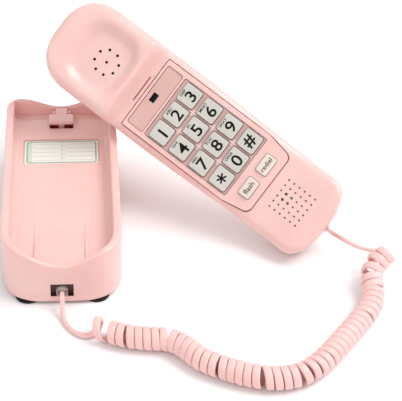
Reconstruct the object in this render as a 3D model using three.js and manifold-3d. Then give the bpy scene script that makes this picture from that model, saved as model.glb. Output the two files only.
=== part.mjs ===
// Slim desk telephone: a tray base, a handset with the keypad in its face, and a curly cord between them.
// Millimetres, +Z up. The base stands on its feet, its front toward -Y. The handset is off the hook:
// a bottom corner of its mouth end is on the table and its back leans on the base's rear right rim.
import * as THREE from 'three';
import { mergeGeometries, mergeVertices } from 'three/addons/utils/BufferGeometryUtils.js';
import Module from 'manifold-3d';

const wasm = await Module();
wasm.setup();

// Base
const baseWidth = 79, baseLength = 158, footHeight = 1.6, wall = 2.4, gap = 0.3;
const frontCorner = 28, rearCorner = 9;
const rimFront = 31.5, rimRear = 49.2;        // height of the front and rear rims at the middle
const sideFront = 9.4, sideRear = 7.1;        // how far the side rims stand above them
const rimWidth = 5.6, deckDrop = 3.6, rearLip = 2.2, pocketLength = 8.6, pocketDepth = 2.2;
// Handset
const handsetLength = 228, earHalf = 32.6, mouthHalf = 30.2, plateauHeight = 14, backDepth = 25;
const mouthRise = 6;
const splitHeight = -7, shellWall = 2.2, padHeight = 1.0;
const plateauEnd = 61, plateauFoot = 70.5;
// Keypad
const keySize = 13.6, keyAcross = keySize + 2.15, keyAlong = keySize + 3.55, keyRise = 1.9, keyTravel = 1.2;
const plateStart = 90.2, plateThick = 1.6, plateHalf = keyAcross + keySize / 2 + 1.35;
const firstRow = plateStart + keySize / 2 + 3.1, keyEnd = firstRow + 3 * keyAlong + keySize / 2 + 2.1;
const softWidth = 13.8, softLength = 8.8, softRow = keyEnd + softLength / 2 + 5.25;
const softAcross = softWidth / 2 + 2.85;
// Rest pose of the handset off the hook, angles in degrees
const handsetSpin = 52.82, handsetRoll = 14, handsetLean = 40.4, handsetTurn = -3.4;
const mouthEnd = new THREE.Vector3(177.403, -36.788, 24.85);   // the handset's lower end on a 79 x 158 base
// Cord
const plugWidth = 7.65, plugHeight = 6.6, plugLength = 11.7, cordWidth = 5, cordThick = 2.5, coilOuter = 15;

const rad = THREE.MathUtils.degToRad;
const group = new THREE.Group();
const root = new THREE.Group();
const handset = new THREE.Group();
group.add(root);
root.add(handset);

// ---- solids ----
function solid(geometry) {
  const bare = new THREE.BufferGeometry();
  const source = geometry.index ? geometry.toNonIndexed() : geometry;
  bare.setAttribute('position', source.getAttribute('position').clone());
  const merged = mergeVertices(bare, 1e-5);
  return new wasm.Manifold(new wasm.Mesh({
    numProp: 3,
    vertProperties: new Float32Array(merged.attributes.position.array),
    triVerts: new Uint32Array(merged.index.array),
  }));
}
function geometryOf(body) {
  const mesh = body.getMesh();
  const out = new THREE.BufferGeometry();
  const n = mesh.numProp, count = mesh.vertProperties.length / n;
  const spots = new Float32Array(count * 3);
  for (let i = 0; i < count; i++) {
    for (let k = 0; k < 3; k++) spots[3 * i + k] = mesh.vertProperties[n * i + k];
  }
  out.setAttribute('position', new THREE.BufferAttribute(spots, 3));
  out.setIndex(new THREE.BufferAttribute(new Uint32Array(mesh.triVerts), 1));
  out.computeVertexNormals();
  return out;
}
function add(parent, name, body, colour, roughness = 0.4, metalness = 0) {
  const mesh = new THREE.Mesh(body.isBufferGeometry ? body : geometryOf(body),
    new THREE.MeshStandardMaterial({ color: colour, roughness, metalness }));
  mesh.name = name;
  parent.add(mesh);
  return mesh;
}
const box = (x0, x1, y0, y1, z0, z1) =>
  solid(new THREE.BoxGeometry(x1 - x0, y1 - y0, z1 - z0).translate((x0 + x1) / 2, (y0 + y1) / 2,
    (z0 + z1) / 2));
// A round bar along x, y or z
function rod(radius, length, x, y, z, along = 'z', sides = 20) {
  const g = new THREE.CylinderGeometry(radius, radius, length, sides);
  if (along === 'z') g.rotateX(Math.PI / 2);
  if (along === 'x') g.rotateZ(Math.PI / 2);
  return solid(g.translate(x, y, z));
}
// A flat outline whose four corners are round: x0..x1 by y0..y1
function outline(x0, x1, y0, y1, front, rear = front) {
  const s = new THREE.Shape();
  s.moveTo(x0 + front, y0);
  s.lineTo(x1 - front, y0);
  s.absarc(x1 - front, y0 + front, front, -Math.PI / 2, 0);
  s.lineTo(x1, y1 - rear);
  s.absarc(x1 - rear, y1 - rear, rear, 0, Math.PI / 2);
  s.lineTo(x0 + rear, y1);
  s.absarc(x0 + rear, y1 - rear, rear, Math.PI / 2, Math.PI);
  s.lineTo(x0, y0 + front);
  s.absarc(x0 + front, y0 + front, front, Math.PI, Math.PI * 1.5);
  return s;
}
const slab = (shape, z0, z1, segments = 6) =>
  solid(new THREE.ExtrudeGeometry(shape, { depth: z1 - z0, bevelEnabled: false, curveSegments: segments })
    .translate(0, 0, z0));
// A closed skin over a row of outlines that all have the same number of points
function loft(sections) {
  const n = sections[0].length, points = [], faces = [];
  for (const s of sections) for (const p of s) points.push(p.x, p.y, p.z);
  for (let i = 0; i + 1 < sections.length; i++) {
    for (let j = 0; j < n; j++) {
      const a = i * n + j, b = i * n + (j + 1) % n;
      faces.push(a, b, b + n, a, b + n, a + n);
    }
  }
  for (const [k, flip] of [[0, true], [sections.length - 1, false]]) {
    const middle = new THREE.Vector3();
    sections[k].forEach((p) => middle.addScaledVector(p, 1 / n));
    const m = points.length / 3;
    points.push(middle.x, middle.y, middle.z);
    for (let j = 0; j < n; j++) {
      const a = k * n + j, b = k * n + (j + 1) % n;
      faces.push(...(flip ? [a, m, b] : [a, b, m]));
    }
  }
  const g = new THREE.BufferGeometry();
  g.setAttribute('position', new THREE.BufferAttribute(new Float32Array(points), 3));
  g.setIndex(faces);
  return solid(g);
}
const ease = (t) => { const u = Math.min(1, Math.max(0, t)); return u * u * (3 - 2 * u); };
const mix = THREE.MathUtils.lerp;

// ---- base ----
const half = baseWidth / 2, frontY = -baseLength / 2, rearY = baseLength / 2;
const along = (y) => (y - frontY) / baseLength;
const rimLine = (y) => mix(rimFront, rimRear, along(y));
const deckLine = (y) => rimLine(y) - deckDrop;
const swell = (x) => 0.5 - 0.5 * Math.cos(Math.PI * Math.min(1, Math.abs(x) / (half - 9)));
const rimTop = (x, y) => rimLine(y) + mix(sideFront, sideRear, along(y)) * swell(x);
const plan = (inset, front = inset, rear = inset) =>
  outline(-half + inset, half - inset, frontY + front, rearY - rear,
    Math.max(1, frontCorner - Math.max(inset, front)), Math.max(1, rearCorner - Math.max(inset, rear)));

// Everything above the saddle-shaped top
const across = [];
for (let i = 0; i <= 20; i++) across.push(mix(-half - 4, half + 4, i / 20));
const sky = loft([frontY - 5, rearY + 5].map((y) => [
  ...across.map((x) => new THREE.Vector3(x, y, rimTop(x, y))),
  new THREE.Vector3(half + 4, y, 120), new THREE.Vector3(-half - 4, y, 120)].reverse()));
// Everything above a plane that slopes with the deck
const aboveDeck = (lift) => loft([frontY - 5, rearY + 5].map((y) => [
  new THREE.Vector3(-half - 4, y, deckLine(y) + lift), new THREE.Vector3(half + 4, y, deckLine(y) + lift),
  new THREE.Vector3(half + 4, y, 120), new THREE.Vector3(-half - 4, y, 120)].reverse()));
const cupHalf = half - rimWidth, deckRear = rearY - rearLip - pocketLength;
// The cradle the handset lies in: narrower at the deck, with rounded feet to its side walls
const cradleSide = 4.5, cradleFront = 4.2;
const trough = loft([frontY - 5, rearY + 5].map((y) => {
  const z = deckLine(y), side = [];
  for (let i = 0; i <= 6; i++) {
    const a = (i / 6) * Math.PI / 2;
    side.push([cupHalf - cradleSide + cradleSide * Math.sin(a), z + 9 * (1 - Math.cos(a))]);
  }
  side.push([cupHalf, 120]);
  return [...side.map(([x, h]) => new THREE.Vector3(-x, y, h)).reverse(),
    ...side.map(([x, h]) => new THREE.Vector3(x, y, h))].reverse();
}));
const cradle = trough.intersect(slab(plan(rimWidth - 1, cradleFront, rearLip), 0, 119, 10));
const hookHoleFront = deckRear - 11, hookHoleRear = deckRear - 1.5, hookHoleHalf = 8.4;
const jackBottom = footHeight + 5.4, jackTop = jackBottom + 10.2, jackHalf = 7.5;
const bottomTop = footHeight + 2.2;           // upper face of the bottom plate
const lineJackX = -16;
const pocketTray = box(-cupHalf + 0.8, cupHalf - 0.8, deckRear, rearY - rearLip,
  deckLine(rearY - rearLip) - pocketDepth, 100);
const cardHalf = 26.6, cardFront = deckRear - 45.5, cardRear = deckRear - 20.5, cardSink = 1.5;
const switchY = 20, switchZ = 15;
let shell = slab(plan(0), footHeight, 80, 10).subtract(sky).subtract(cradle).subtract(pocketTray);
const hollow = slab(plan(wall), footHeight - 1, 80, 8).subtract(aboveDeck(-wall - pocketDepth + 0.6));
shell = shell.subtract(hollow);
// holes: handset-cord jack, line jack, hook gap, ringer switch, card pocket
shell = shell.subtract(box(-jackHalf, jackHalf, frontY - 2, frontY + 6, jackBottom, jackTop))
  .subtract(box(lineJackX - 5.2, lineJackX + 5.2, rearY - 5, rearY + 2, jackBottom + 1.2, jackBottom + 8.4))
  .subtract(box(-hookHoleHalf, hookHoleHalf, hookHoleFront, hookHoleRear, 20, 100))
  .subtract(box(-half - 2, -half + 6, switchY - 6, switchY + 6, switchZ - 2, switchZ + 2))
  .subtract(slab(outline(-cardHalf, cardHalf, cardFront, cardRear, 2), 0, 100)
    .intersect(aboveDeck(-cardSink)));
// two low ribs on the deck that guide the handset's mouth end
const ribX = 16.6, ribFront = frontY + 11, ribRear = ribFront + 32;
for (const s of [-1, 1]) {
  const rib = loft([ribFront, (ribFront + ribRear) / 2, ribRear].map((y, i) => {
    const z = deckLine(y), h = [1.6, 1.4, 0.2][i];
    return [[-1.3, -1], [1.3, -1], [0.7, h], [-0.7, h]]
      .map(([x, dz]) => new THREE.Vector3(s * ribX + x, y, z + dz)).reverse();
  }));
  shell = shell.add(rib);
}
// three screw posts inside
const posts = [[12.5 - half, rearY - 27], [half - 12.5, rearY - 27], [0, frontY + 29]];
for (const [x, y] of posts) {
  shell = shell.add(rod(3.4, deckLine(y) - bottomTop - 3 - gap, x, y,
    (deckLine(y) - 3 + bottomTop + gap) / 2))
    .subtract(rod(1.4, 14, x, y, bottomTop + 5));
}
// two ears that hold the hook's pin, in the pocket behind the deck
const pinY = rearY - rearLip - 3.2, pocketFloor = deckLine(rearY - rearLip) - pocketDepth;
const pinZ = pocketFloor + 2.5, earHalfX = 6.4;
for (const s of [-1, 1]) {
  const ear = box(Math.min(s * (earHalfX - 1.9), s * earHalfX), Math.max(s * (earHalfX - 1.9),
    s * earHalfX),
    pinY - 1.9, pinY + 1.9, pocketFloor - 0.5, pinZ + 1.9);
  shell = shell.add(ear);
}
shell = shell.subtract(rod(1.0, 2 * earHalfX + 2, 0, pinY, pinZ, 'x', 16));
const pink = 0xf4cdc9, deep = 0xe9b1ab, black = 0x1c1a19;
add(root, 'base_shell', shell, pink, 0.35);

// bottom plate with wall keyholes, screw holes and line-cord slot
let plate = slab(plan(wall + gap), footHeight + 0.2, bottomTop, 8);
for (const [x, y] of posts) plate = plate.subtract(rod(1.9, 10, x, y, footHeight));
for (const y of [-32, 40]) {
  plate = plate.subtract(rod(4.2, 10, 0, y, footHeight)).subtract(rod(2.1, 10, 0, y + 7.5, footHeight))
    .subtract(box(-2.1, 2.1, y, y + 7.5, 0, 10));
}
add(root, 'base_plate', plate, deep, 0.6);
// the feet: flattened rubber discs stuck under the plate
const footX = half - 17, footFront = frontY + 9.5, footRear = rearY - 13, footRadius = 8.6;
const footProfile = [[0, 0], [footRadius - 1.2, 0], [footRadius, 0.8], [footRadius, footHeight - 0.1],
  [0, footHeight - 0.1]];
const footPlaces = { front_left: [-footX, footFront], front_right: [footX, footFront],
  rear_left: [-footX, footRear], rear_right: [footX, footRear] };
for (const [name, [x, y]] of Object.entries(footPlaces)) {
  const g = new THREE.LatheGeometry(footProfile.map((p) => new THREE.Vector2(...p)),
    24).rotateX(Math.PI / 2)
    .translate(x, y, 0);
  add(root, `foot_${name}`, solid(g), black, 0.85);
}
// screws: pan heads under the plate, threads up into the posts
posts.forEach(([x, y], i) => {
  const screw = rod(1.25, 9, x, y, bottomTop + 3.2, 'z', 12).add(rod(1.75, 1.6, x, y, bottomTop - 1.1,
    'z', 12));
  add(root, `base_screw_${i + 1}`, screw, 0x9a9a9a, 0.35, 0.9);
});
// inside: circuit board on the plate, bell sounder, ballast, hook switch
const boardZ = bottomTop + 2.4;
const hookFoot = deckRear - 5;
const board = box(10.5 - half, half - 10.5, -30, rearY - 41, boardZ, boardZ + 1.6)
  .add(box(-8, 8, 30, hookFoot + 6, boardZ, boardZ + 1.6))
  .add(box(-26, -22, 0, 4, bottomTop + gap, boardZ + 0.5)).add(box(22, 26, 0, 4, bottomTop + gap,
    boardZ + 0.5));
add(root, 'base_board', board, 0x2f6b3c, 0.5);
add(root, 'bell_sounder', rod(11, 5.5, -12, -12, boardZ + 1.6 + gap + 2.75, 'z', 24)
  .subtract(rod(2, 8, -12, -12, boardZ + 8, 'z', 12)), 0x22201f, 0.5);
add(root, 'ballast_weight', box(8, 29, -60, -34, bottomTop + gap, bottomTop + 10), 0x6f7175, 0.45, 0.8);
const switchTop = deckLine(hookFoot) - 17.5;
add(root, 'hook_switch', box(-5, 5, hookFoot - 4, hookFoot + 4, boardZ + 1.6 + gap, switchTop - 1.8)
  .add(box(-1.6, 1.6, hookFoot - 1.6, hookFoot + 1.6, switchTop - 2.2, switchTop)), 0x2b2b2d, 0.5);
// handset-cord jack in the front wall
const jackMid = (jackBottom + jackTop) / 2, socketHalf = plugWidth / 2 + gap;
const plugZ = jackBottom + 4.3, plugFront = frontY - 1.2;
add(root, 'front_jack', box(-jackHalf + gap, jackHalf - gap, frontY + wall + 0.6, frontY + wall + 15,
  jackBottom - 1, jackTop + 1).subtract(box(-socketHalf, socketHalf, frontY, frontY + wall + 13.4,
  plugZ - plugHeight / 2 - gap, plugZ + plugHeight / 2 + 1.4)), 0x5a3a30, 0.5);
// line jack in the rear wall, empty
add(root, 'line_jack', box(lineJackX - 7, lineJackX + 7, rearY - wall - 14, rearY - wall - gap,
  jackBottom - 0.6, jackBottom + 10).subtract(box(lineJackX - 4.9, lineJackX + 4.9, rearY - wall - 12,
    rearY,
  jackBottom + 1.5, jackBottom + 8.1)), 0x2b2725, 0.5);
// number card under its clear window
const cardMiddle = (cardFront + cardRear) / 2, deckSlope = Math.atan((rimRear - rimFront) / baseLength);
function onDeck(g, lift) {
  return g.rotateX(deckSlope).translate(0, cardMiddle, deckLine(cardMiddle) + lift);
}
const cardLength = (cardRear - cardFront) / Math.cos(deckSlope);
add(root, 'index_card', onDeck(new THREE.BoxGeometry(2 * cardHalf - 1.6, cardLength - 1.6, 0.4), -1.0),
  0xf2f1ea, 0.7);
add(root, 'card_window', onDeck(new THREE.BoxGeometry(2 * cardHalf - 0.8, cardLength - 1.5, 0.5), -0.35),
  0xffffff, 0.1);
// T-shaped hook lever: a stem from its pin, a bar over the deck, a leg down to the switch
const barRear = deckRear + 1.0, barFront = deckRear - 8.6, barHalf = 8.7, stemHalf = 4.2,
  hookTop = rimLine(rearY) - 0.2;
let lever = slab(outline(-barHalf, barHalf, barFront, barRear, 1.4), hookTop - 2.6, hookTop, 3)
  .add(box(-stemHalf, stemHalf, barRear - 1, rearY - rearLip - 0.4, hookTop - 2.6, hookTop))
  .add(rod(1.9, 2 * stemHalf, 0, pinY, pinZ, 'x', 16))
  .add(box(-stemHalf, stemHalf, pinY - 1.6, pinY + 1.6, pinZ, hookTop - 1))
  .add(box(-2, 2, hookFoot - 1.5, hookFoot + 1.5, switchTop + 1.3, hookTop - 1))
  .subtract(rod(1.0, 30, 0, pinY, pinZ, 'x', 16));
add(root, 'hook_lever', lever, pink, 0.35);
add(root, 'hook_pin', rod(0.7, 2 * earHalfX, 0, pinY, pinZ, 'x', 10), 0xb8b8b8, 0.3, 0.9);
// ringer switch in the left wall
const knob = box(-half - 1.4, -half + wall + 1.5, switchY - 2.2, switchY + 2.2, switchZ - 1.5,
  switchZ + 1.5)
  .add(box(-half + wall + gap, -half + wall + 1.5, switchY - 9.3, switchY + 9.3, switchZ - 3.3,
    switchZ + 3.3));
add(root, 'ringer_switch', knob, black, 0.5);

// ---- handset: x to its right, y toward the ear, z out of its face; y = 0 at the ear end ----
const halfAt = (s) => {
  const body = mix(earHalf, mouthHalf, ease((s - 90) / 110));
  const ear = s < 30 ? Math.pow(1 - Math.pow((30 - s) / 30, 2.5), 0.4) : 1;
  const t = (s - (handsetLength - 15)) / 15;
  return body * ear * (t > 0 ? Math.pow(Math.max(0, 1 - Math.pow(t, 2.3)), 1 / 2.3) : 1);
};
const edge = (s) => Math.sqrt(Math.max(0, 1 - Math.pow(1 - Math.min(1, s / 7), 2)))
  * Math.sqrt(Math.max(0, 1 - Math.pow(1 - Math.min(1, (handsetLength - s) / 6), 2)));
const topAt = (s) => plateauHeight * (1 - ease((s - plateauEnd) / (plateauFoot - plateauEnd)))
  + mouthRise * ease((s - softRow - 12) / (handsetLength - softRow - 12)) - 5 * (1 - edge(s));
const backAt = (s) => -(backDepth - 8 * (1 - ease(s / 45)) - 5 * ease((s - 150) / 70)) + 5 * (1 - edge(s));
function ring(s, inset, top, bottom) {
  const w = Math.max(1.2, halfAt(s) - inset), points = [];
  const rt = Math.max(0.4, Math.min(4 - inset / 2, w * 0.5)), rb = Math.max(0.4, Math.min(10 - inset,
    w * 0.6));
  const corner = (cx, cz, rx, a) => {
    for (let i = 0; i <= 4; i++) {
      const t = a + (i / 4) * Math.PI / 2;
      points.push(new THREE.Vector3(cx + rx * Math.cos(t), -s, cz + rx * Math.sin(t)));
    }
  };
  corner(w - rt, top - rt, rt, 0);
  corner(-w + rt, top - rt, rt, Math.PI / 2);
  corner(-w + rb, bottom + rb, rb, Math.PI);
  corner(w - rb, bottom + rb, rb, Math.PI * 1.5);
  return points.reverse();
}
function stations(start, end) {
  const list = [start, start + 0.8, start + 2.4, start + 5, start + 9, start + 15, start + 22,
    start + 32, 48];
  for (let i = 0; i <= 6; i++) list.push(mix(plateauEnd - 1, plateauFoot + 1, i / 6));
  list.push(90, 120, 150, 178, 190, 202, end - 15, end - 9, end - 5.5, end - 3, end - 1.2, end - 0.3, end);
  return list;
}
const skin = (inset) => loft(stations(0.15 + inset, handsetLength - 0.15 - inset)
  .map((s) => ring(s, inset, topAt(s) - inset, backAt(s) + inset)).reverse());
const outerSkin = skin(0), innerSkin = skin(shellWall);
const everyway = 60, longway = handsetLength + 20;
const upper = box(-everyway, everyway, -longway, 20, splitHeight, 60);
const lower = box(-everyway, everyway, -longway, 20, -60, splitHeight - gap);

// raised pad round the keypad, narrower toward the grille
const padStart = 73.5, padEnd = softRow + softLength / 2 + 5.3, padHalf = plateHalf + 3.4;
const padNarrow = padHalf - 3.8, padBend = keyEnd - 0.95;
function padShape(inset) {
  const s = new THREE.Shape();
  const h = padHalf - inset, n = padNarrow - inset, r = 5;
  s.moveTo(-h, -padStart - inset);
  s.lineTo(-h, -padBend);
  s.lineTo(-n, -padEnd + inset + r);
  s.quadraticCurveTo(-n, -padEnd + inset, -n + r, -padEnd + inset);
  s.lineTo(n - r, -padEnd + inset);
  s.quadraticCurveTo(n, -padEnd + inset, n, -padEnd + inset + r);
  s.lineTo(h, -padBend);
  s.lineTo(h, -padStart - inset);
  return s;
}
const earCentre = 41.5, dishRadius = 23, grilleCentre = handsetLength - 28.5, grillePitch = 4.4;
let front = outerSkin.intersect(upper).add(slab(padShape(0), -2, padHeight, 3)).subtract(innerSkin);
// ear dish
const dish = new THREE.LatheGeometry([[0, -3.4], [7, -3.2], [14, -2.2], [19, -0.9], [dishRadius, 0.6],
  [dishRadius, 6], [0, 6]].map((p) => new THREE.Vector2(...p)), 32).rotateX(Math.PI / 2)
  .translate(0, -earCentre, plateauHeight);
front = front.add(rod(dishRadius + 1, 7, 0, -earCentre, plateauHeight - 4.4, 'z', 32).intersect(outerSkin))
  .subtract(solid(dish));
for (let i = 0; i < 9; i++) {
  const a = (i / 8) * Math.PI * 2, r = i < 8 ? 8.7 : 0;
  front = front.subtract(rod(1, 20, r * Math.cos(a), -earCentre + r * Math.sin(a), plateauHeight - 6,
    'z', 8));
}
// keypad ledge, hook panel recess, sound holes of the mouth end
const panelStart = 75.4, panelEnd = 88.8;
const slotAt = 80.8, slotHalf = 3.4, slotLong = 2.05;
const plateTop = padHeight - 0.5, plateUnder = plateTop - plateThick;
front = front.subtract(slab(outline(-plateHalf, plateHalf, -keyEnd, -plateStart, 1.5), plateUnder - gap,
  10, 3))
  .subtract(box(-plateHalf + 0.9, plateHalf - 0.9, -keyEnd + 1.2, -plateStart - 1.2, -4, 10))
  .subtract(slab(outline(-plateHalf, plateHalf, -panelEnd, -panelStart, 1.5), plateUnder - gap, 10, 3))
  .subtract(box(-slotHalf - 2.6, slotHalf + 2.6, -slotAt - slotLong - 2.4, -slotAt + slotLong + 2.4, -6,
    10));
for (const s of [-1, 1]) {
  front = front.subtract(slab(outline(s * softAcross - softWidth / 2 - 0.4,
    s * softAcross + softWidth / 2 + 0.4,
    -softRow - softLength / 2 - 0.4, -softRow + softLength / 2 + 0.4, 1.8), -6, 10, 3));
}
for (let i = 0; i < 2; i++) {
  for (let j = 0; j < 2; j++) {
    front = front.subtract(rod(0.8, 20, (0.5 - i) * grillePitch, -grilleCentre + (1.5 - j) * grillePitch,
      0, 'z', 8));
  }
}
const jackHoleHalf = 6.2, handsetJackZ = -11.5;
const cordCut = box(-socketHalf - 0.6, socketHalf + 0.6, -longway, -handsetLength + 9,
  handsetJackZ - plugHeight / 2 - 0.6, handsetJackZ + plugHeight / 2 + 1.2);
front = front.subtract(cordCut);
let back = outerSkin.intersect(lower).subtract(innerSkin).subtract(cordCut);
const handsetPosts = [[0, -68.5], [0, 42 - handsetLength]];
for (const [x, y] of handsetPosts) {
  back = back.add(rod(3.6, splitHeight - gap - backAt(-y) - 1, x, y,
    (splitHeight - gap + backAt(-y) + 1) / 2))
    .subtract(rod(2.4, 9, x, y, backAt(-y) + 1.2, 'z', 12)).subtract(rod(1.5, 60, x, y, 0, 'z', 12));
  const tip = topAt(-y) - shellWall + 0.5;
  front = front.add(rod(3.6, tip - splitHeight, x, y, (tip + splitHeight) / 2))
    .subtract(rod(1.1, 8, x, y, splitHeight + 1, 'z', 12));
}
add(handset, 'handset_front', front, pink, 0.35);
add(handset, 'handset_back', back, pink, 0.35);
handsetPosts.forEach(([x, y], i) => {
  const head = backAt(-y) + 4.2;
  add(handset, `handset_screw_${i + 1}`, rod(2.1, 1.4, x, y, head, 'z', 12)
    .add(rod(0.95, splitHeight + 4 - head, x, y, (splitHeight + 4 + head) / 2, 'z', 12)), 0x9a9a9a, 0.35,
      0.9);
});
// hook panel with its black-lined slot
let panel = slab(outline(-plateHalf + gap, plateHalf - gap, -panelEnd + gap, -panelStart - gap, 1.3),
  plateUnder, plateTop, 3)
  .subtract(box(-slotHalf, slotHalf, -slotAt - slotLong, -slotAt + slotLong, -5, 5));
add(handset, 'hook_panel', panel, 0xecc3be, 0.4);
const liner = box(-slotHalf - 2, slotHalf + 2, -slotAt - slotLong - 1.8, -slotAt + slotLong + 1.8,
  plateUnder - 4.6, plateUnder - gap)
  .subtract(box(-slotHalf, slotHalf, -slotAt - slotLong, -slotAt + slotLong, plateUnder - 3.8, 5));
add(handset, 'slot_liner', liner, black, 0.6);
// keypad plate, rubber mat, board
let keyPlate = slab(outline(-plateHalf + gap, plateHalf - gap, -keyEnd + gap, -plateStart - gap, 1.3),
  plateUnder, plateTop, 3);
const rows = [0, 1, 2, 3], columns = [-1, 0, 1], holeHalf = keySize / 2 + 0.4;
for (const r of rows) {
  for (const c of columns) {
    const y = -firstRow - r * keyAlong, x = c * keyAcross;
    keyPlate = keyPlate.subtract(slab(outline(x - holeHalf, x + holeHalf, y - holeHalf, y + holeHalf,
      1.6), -9, 9, 2));
  }
}
add(handset, 'keypad_plate', keyPlate, 0xf1c6c1, 0.4);
const keyUnder = plateUnder - 1.2, matTop = keyUnder - keyTravel - 0.5;
add(handset, 'key_mat', box(-plateHalf - 0.1, plateHalf + 0.1, -softRow - 7,
  -plateStart - 1.8, matTop - 1.2, matTop), 0x8d8a88, 0.8);
add(handset, 'keypad_board', box(-plateHalf - 1.1, plateHalf + 1.1, -softRow - 9,
  -plateStart - 0.8, matTop - 1.2 - gap - 1.6,
  matTop - 1.2 - gap), 0x2f6b3c, 0.5);
// one key cap: rounded square with a small bevel at its upper edge
function cap(width, length, x, y, radius) {
  const s = outline(-width / 2 + 0.5, width / 2 - 0.5, -length / 2 + 0.5, length / 2 - 0.5, radius);
  const g = new THREE.ExtrudeGeometry(s, { depth: plateTop + keyRise - 0.5 - keyUnder, bevelEnabled: true,
    bevelSize: 0.5, bevelThickness: 0.5, bevelSegments: 1, curveSegments: 3 });
  return solid(g.translate(x, y, keyUnder + 0.0)).subtract(box(-99, 99, -300, 99, -30, keyUnder));
}
const keyNames = ['1', '2', '3', '4', '5', '6', '7', '8', '9', 'star', '0', 'hash'];
keyNames.forEach((name, i) => {
  const x = (i % 3 - 1) * keyAcross, y = -firstRow - Math.floor(i / 3) * keyAlong;
  add(handset, `key_${name}`, cap(keySize, keySize, x, y, 1.4), 0xd9d7d4, 0.3);
});
add(handset, 'key_flash', cap(softWidth, softLength, -softAcross, -softRow, 1.4), 0xd9d7d4, 0.3);
add(handset, 'key_redial', cap(softWidth, softLength, softAcross, -softRow, 1.4), 0xd9d7d4, 0.3);
// receiver and microphone
add(handset, 'receiver_capsule', rod(17, 7, 0, -earCentre, plateauHeight - 8 - gap - 3.5, 'z', 28),
  0x3a3836, 0.5);
add(handset, 'microphone', rod(4.8, 6, 0, -grilleCentre + 2.2, -shellWall - gap - 3, 'z', 20), 0xc9c9c9,
  0.4, 0.6);
// handset jack, closed behind its plug
const jackFace = -handsetLength + 2.6;
add(handset, 'handset_jack', box(-6.2, 6.2, jackFace, jackFace + 14, handsetJackZ - 5.4, handsetJackZ + 5.4)
  .intersect(innerSkin).subtract(box(-socketHalf, socketHalf, -longway, jackFace + 12.4,
    handsetJackZ - plugHeight / 2 - gap, handsetJackZ + plugHeight / 2 + 0.9)), 0x2b2725, 0.5);

// ---- place the handset ----
const turn = new THREE.Matrix4().makeRotationZ(rad(handsetTurn))
  .multiply(new THREE.Matrix4().makeRotationX(rad(handsetLean)))
  .multiply(new THREE.Matrix4().makeRotationZ(rad(handsetSpin)))
  .multiply(new THREE.Matrix4().makeRotationY(rad(-handsetRoll)));
handset.quaternion.setFromRotationMatrix(turn);
// it follows the rim it leans on, so its lower end moves with the base's side and rear
const earEnd = new THREE.Vector3(0, handsetLength, 0).applyMatrix4(turn).add(mouthEnd);
const sideways = new THREE.Vector3(half - 39.5, rearY - 79, 0);
const handsetAt = earEnd.add(sideways);
handset.position.copy(handsetAt);

// ---- cord: a plug at each end, two straight leads and the curly stretch as one fat tube ----
function plug(y, z) {
  const w = plugWidth / 2, h = plugHeight / 2;
  return box(-w, w, y, y + plugLength, z - h, z + h)
    .add(box(-1.6, 1.6, y + 0.8, y + plugLength - 1, z + h - 0.5, z + h + 0.9))
    .subtract(box(-cordWidth / 2, cordWidth / 2, y - 1, y + 3, z - cordThick / 2, z + cordThick / 2));
}
add(root, 'plug_base', plug(plugFront, plugZ), 0xe6e0dc, 0.15);
add(handset, 'plug_handset', plug(-handsetLength - 1, handsetJackZ), 0xe6e0dc, 0.15);
const leadRadius = 1.8, coilRadius = coilOuter / 2 - 0.05;
function tube(points, radius, sides, steps) {
  const shape = new THREE.Shape();
  shape.absarc(0, 0, radius, 0, Math.PI * 2);
  const path = new THREE.CatmullRomCurve3(points, false, 'centripetal');
  return solid(new THREE.ExtrudeGeometry(shape,
    { steps, extrudePath: path, curveSegments: sides / 2, bevelEnabled: false }));
}
const P = (x, y, z) => new THREE.Vector3(x, y, z);
const plugMouth = plugFront - gap, lying = coilOuter / 2 + 0.1;
// points of a stretch of cord: one end keeps its place at the base's front, the other at the handset
const forward = new THREE.Vector3(0, frontY + 79, 0);
const stretch = (points, from, to) => points.map((p, i) =>
  p.clone().add(from.clone().lerp(to, ease((i - 2) / (points.length - 5)))));
const leadBase = [P(0, plugMouth, plugZ), P(0, plugMouth - 2.5, plugZ), P(0, plugMouth - 6, 8.4),
  ...stretch([P(0, -90.5, 3.6), P(0.6, -96.5, 2.1), P(3.2, -102.6, 2.2), P(7, -105.9, 3.2),
    P(11.8, -106.4, lying - 1.8), P(16.6, -107.4, lying - 0.2), P(20.6, -109.4, lying)], forward, forward)];
const coil = stretch([P(21, -109.6, lying), P(25, -111.4, lying), P(32, -115.3, lying),
  P(43, -119.3, lying), P(54.5, -121.5, lying), P(67.2, -122.9, lying), P(74.6, -127.6, lying),
  P(86.4, -141, lying), P(104.5, -151.4, lying), P(116.5, -156.2, lying), P(131.5, -159, lying),
  P(146, -156.2, lying), P(158.3, -147.8, lying), P(180.8, -121.3, lying), P(200.1, -94.3, lying),
  P(203.6, -80, lying + 0.8), P(203.4, -71.5, lying + 4.9), P(207.5, -64.5, lying + 10.4),
  P(214.5, -61.4, lying + 14.9)], forward, sideways);
// the mouth of the handset's plug, in the part's own frame
const out = P(0, -1, 0).applyMatrix4(turn);
const mouth = P(0, -handsetLength - 1 - gap, handsetJackZ).applyMatrix4(turn).add(handsetAt);
const leadHandset = [mouth, mouth.clone().addScaledVector(out, 4),
  ...stretch([P(189.5, -38, 18), P(199, -46, 20.5), P(208.5, -51.5, lying + 16.9),
    P(215.5, -54.5, lying + 19.4), P(218.2, -58.3, lying + 17.8), P(215, -61.2, lying + 15.2)],
  sideways, sideways)];
add(root, 'cord_lead_base', tube(leadBase, leadRadius, 8, 30), 0xefc4bf, 0.4);
add(root, 'cord_coil', tube(coil, coilRadius, 12, 44), 0xefc4bf, 0.4);
add(root, 'cord_lead_handset', tube(leadHandset, leadRadius, 8, 26), 0xefc4bf, 0.4);

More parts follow.
